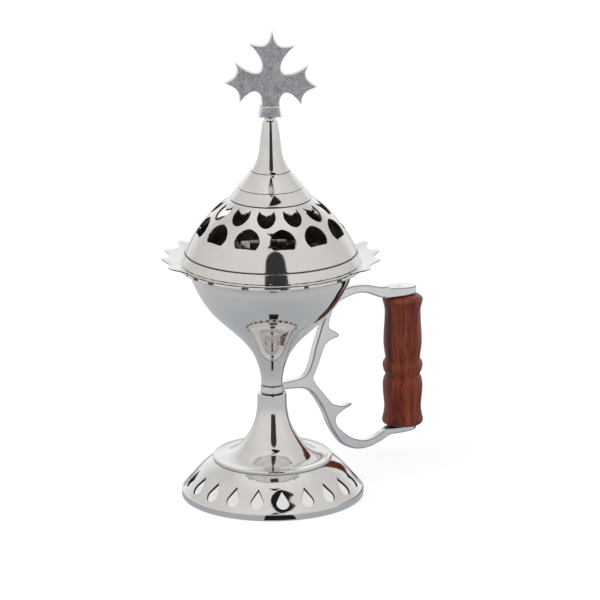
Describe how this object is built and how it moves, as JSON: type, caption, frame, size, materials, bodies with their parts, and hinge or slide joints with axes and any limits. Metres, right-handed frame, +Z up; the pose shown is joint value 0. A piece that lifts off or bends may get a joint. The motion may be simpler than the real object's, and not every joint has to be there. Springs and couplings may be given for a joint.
{
  "type": "standing hand censer",
  "caption": "Footed metal censer with pierced domed lid, cross finial, lift-out charcoal pan with scalloped lugs, and a turned wooden side handle on a cast bracket.",
  "frame": {"origin": "on the surface that the censer stands on, under the centre of its bounding box; the stem's axis is at x = -22.8 mm, y = 0", "axes": "+Z up along the stem, +X from the stem towards the wooden grip, +Y to the left of someone who looks along +X"},
  "size_m": [0.1506, 0.1028, 0.2382],
  "materials": {
    "polished_nickel": "mirror-polished nickel plate",
    "bracket_nickel": "polished nickel-plated casting",
    "fastener_metal": "plain turned steel",
    "cast_metal": "dull, finely grained casting",
    "varnished_wood": "red-brown hardwood under clear gloss varnish"
  },
  "bodies": {
    "stand": {"foot_skirt": "polished_nickel", "foot_trumpet": "polished_nickel", "handle_bracket": "bracket_nickel", "bowl": "polished_nickel", "tie_screw": "fastener_metal", "bowl_washer": "fastener_metal", "foot_washer": "fastener_metal", "tie_nut": "fastener_metal", "wood_grip": "varnished_wood", "grip_rod": "bracket_nickel"},
    "pan": {"charcoal_pan": "polished_nickel"},
    "lid": {"lid_dome": "polished_nickel", "lid_locating_ring": "polished_nickel", "lid_band": "polished_nickel", "lid_spire": "polished_nickel", "cross_finial": "cast_metal", "finial_neck": "polished_nickel", "finial_stud": "fastener_metal", "stud_washer": "fastener_metal", "stud_nut": "fastener_metal"}
  },
  "joints": [
    {"name": "pan_lift", "type": "slide", "parent": "stand", "child": "pan", "axis": [0, 0, 1], "range_m": [0, 0.05]},
    {"name": "lid_lift", "type": "slide", "parent": "pan", "child": "lid", "axis": [0, 0, 1], "range_m": [0, 0.06]}
  ]
}
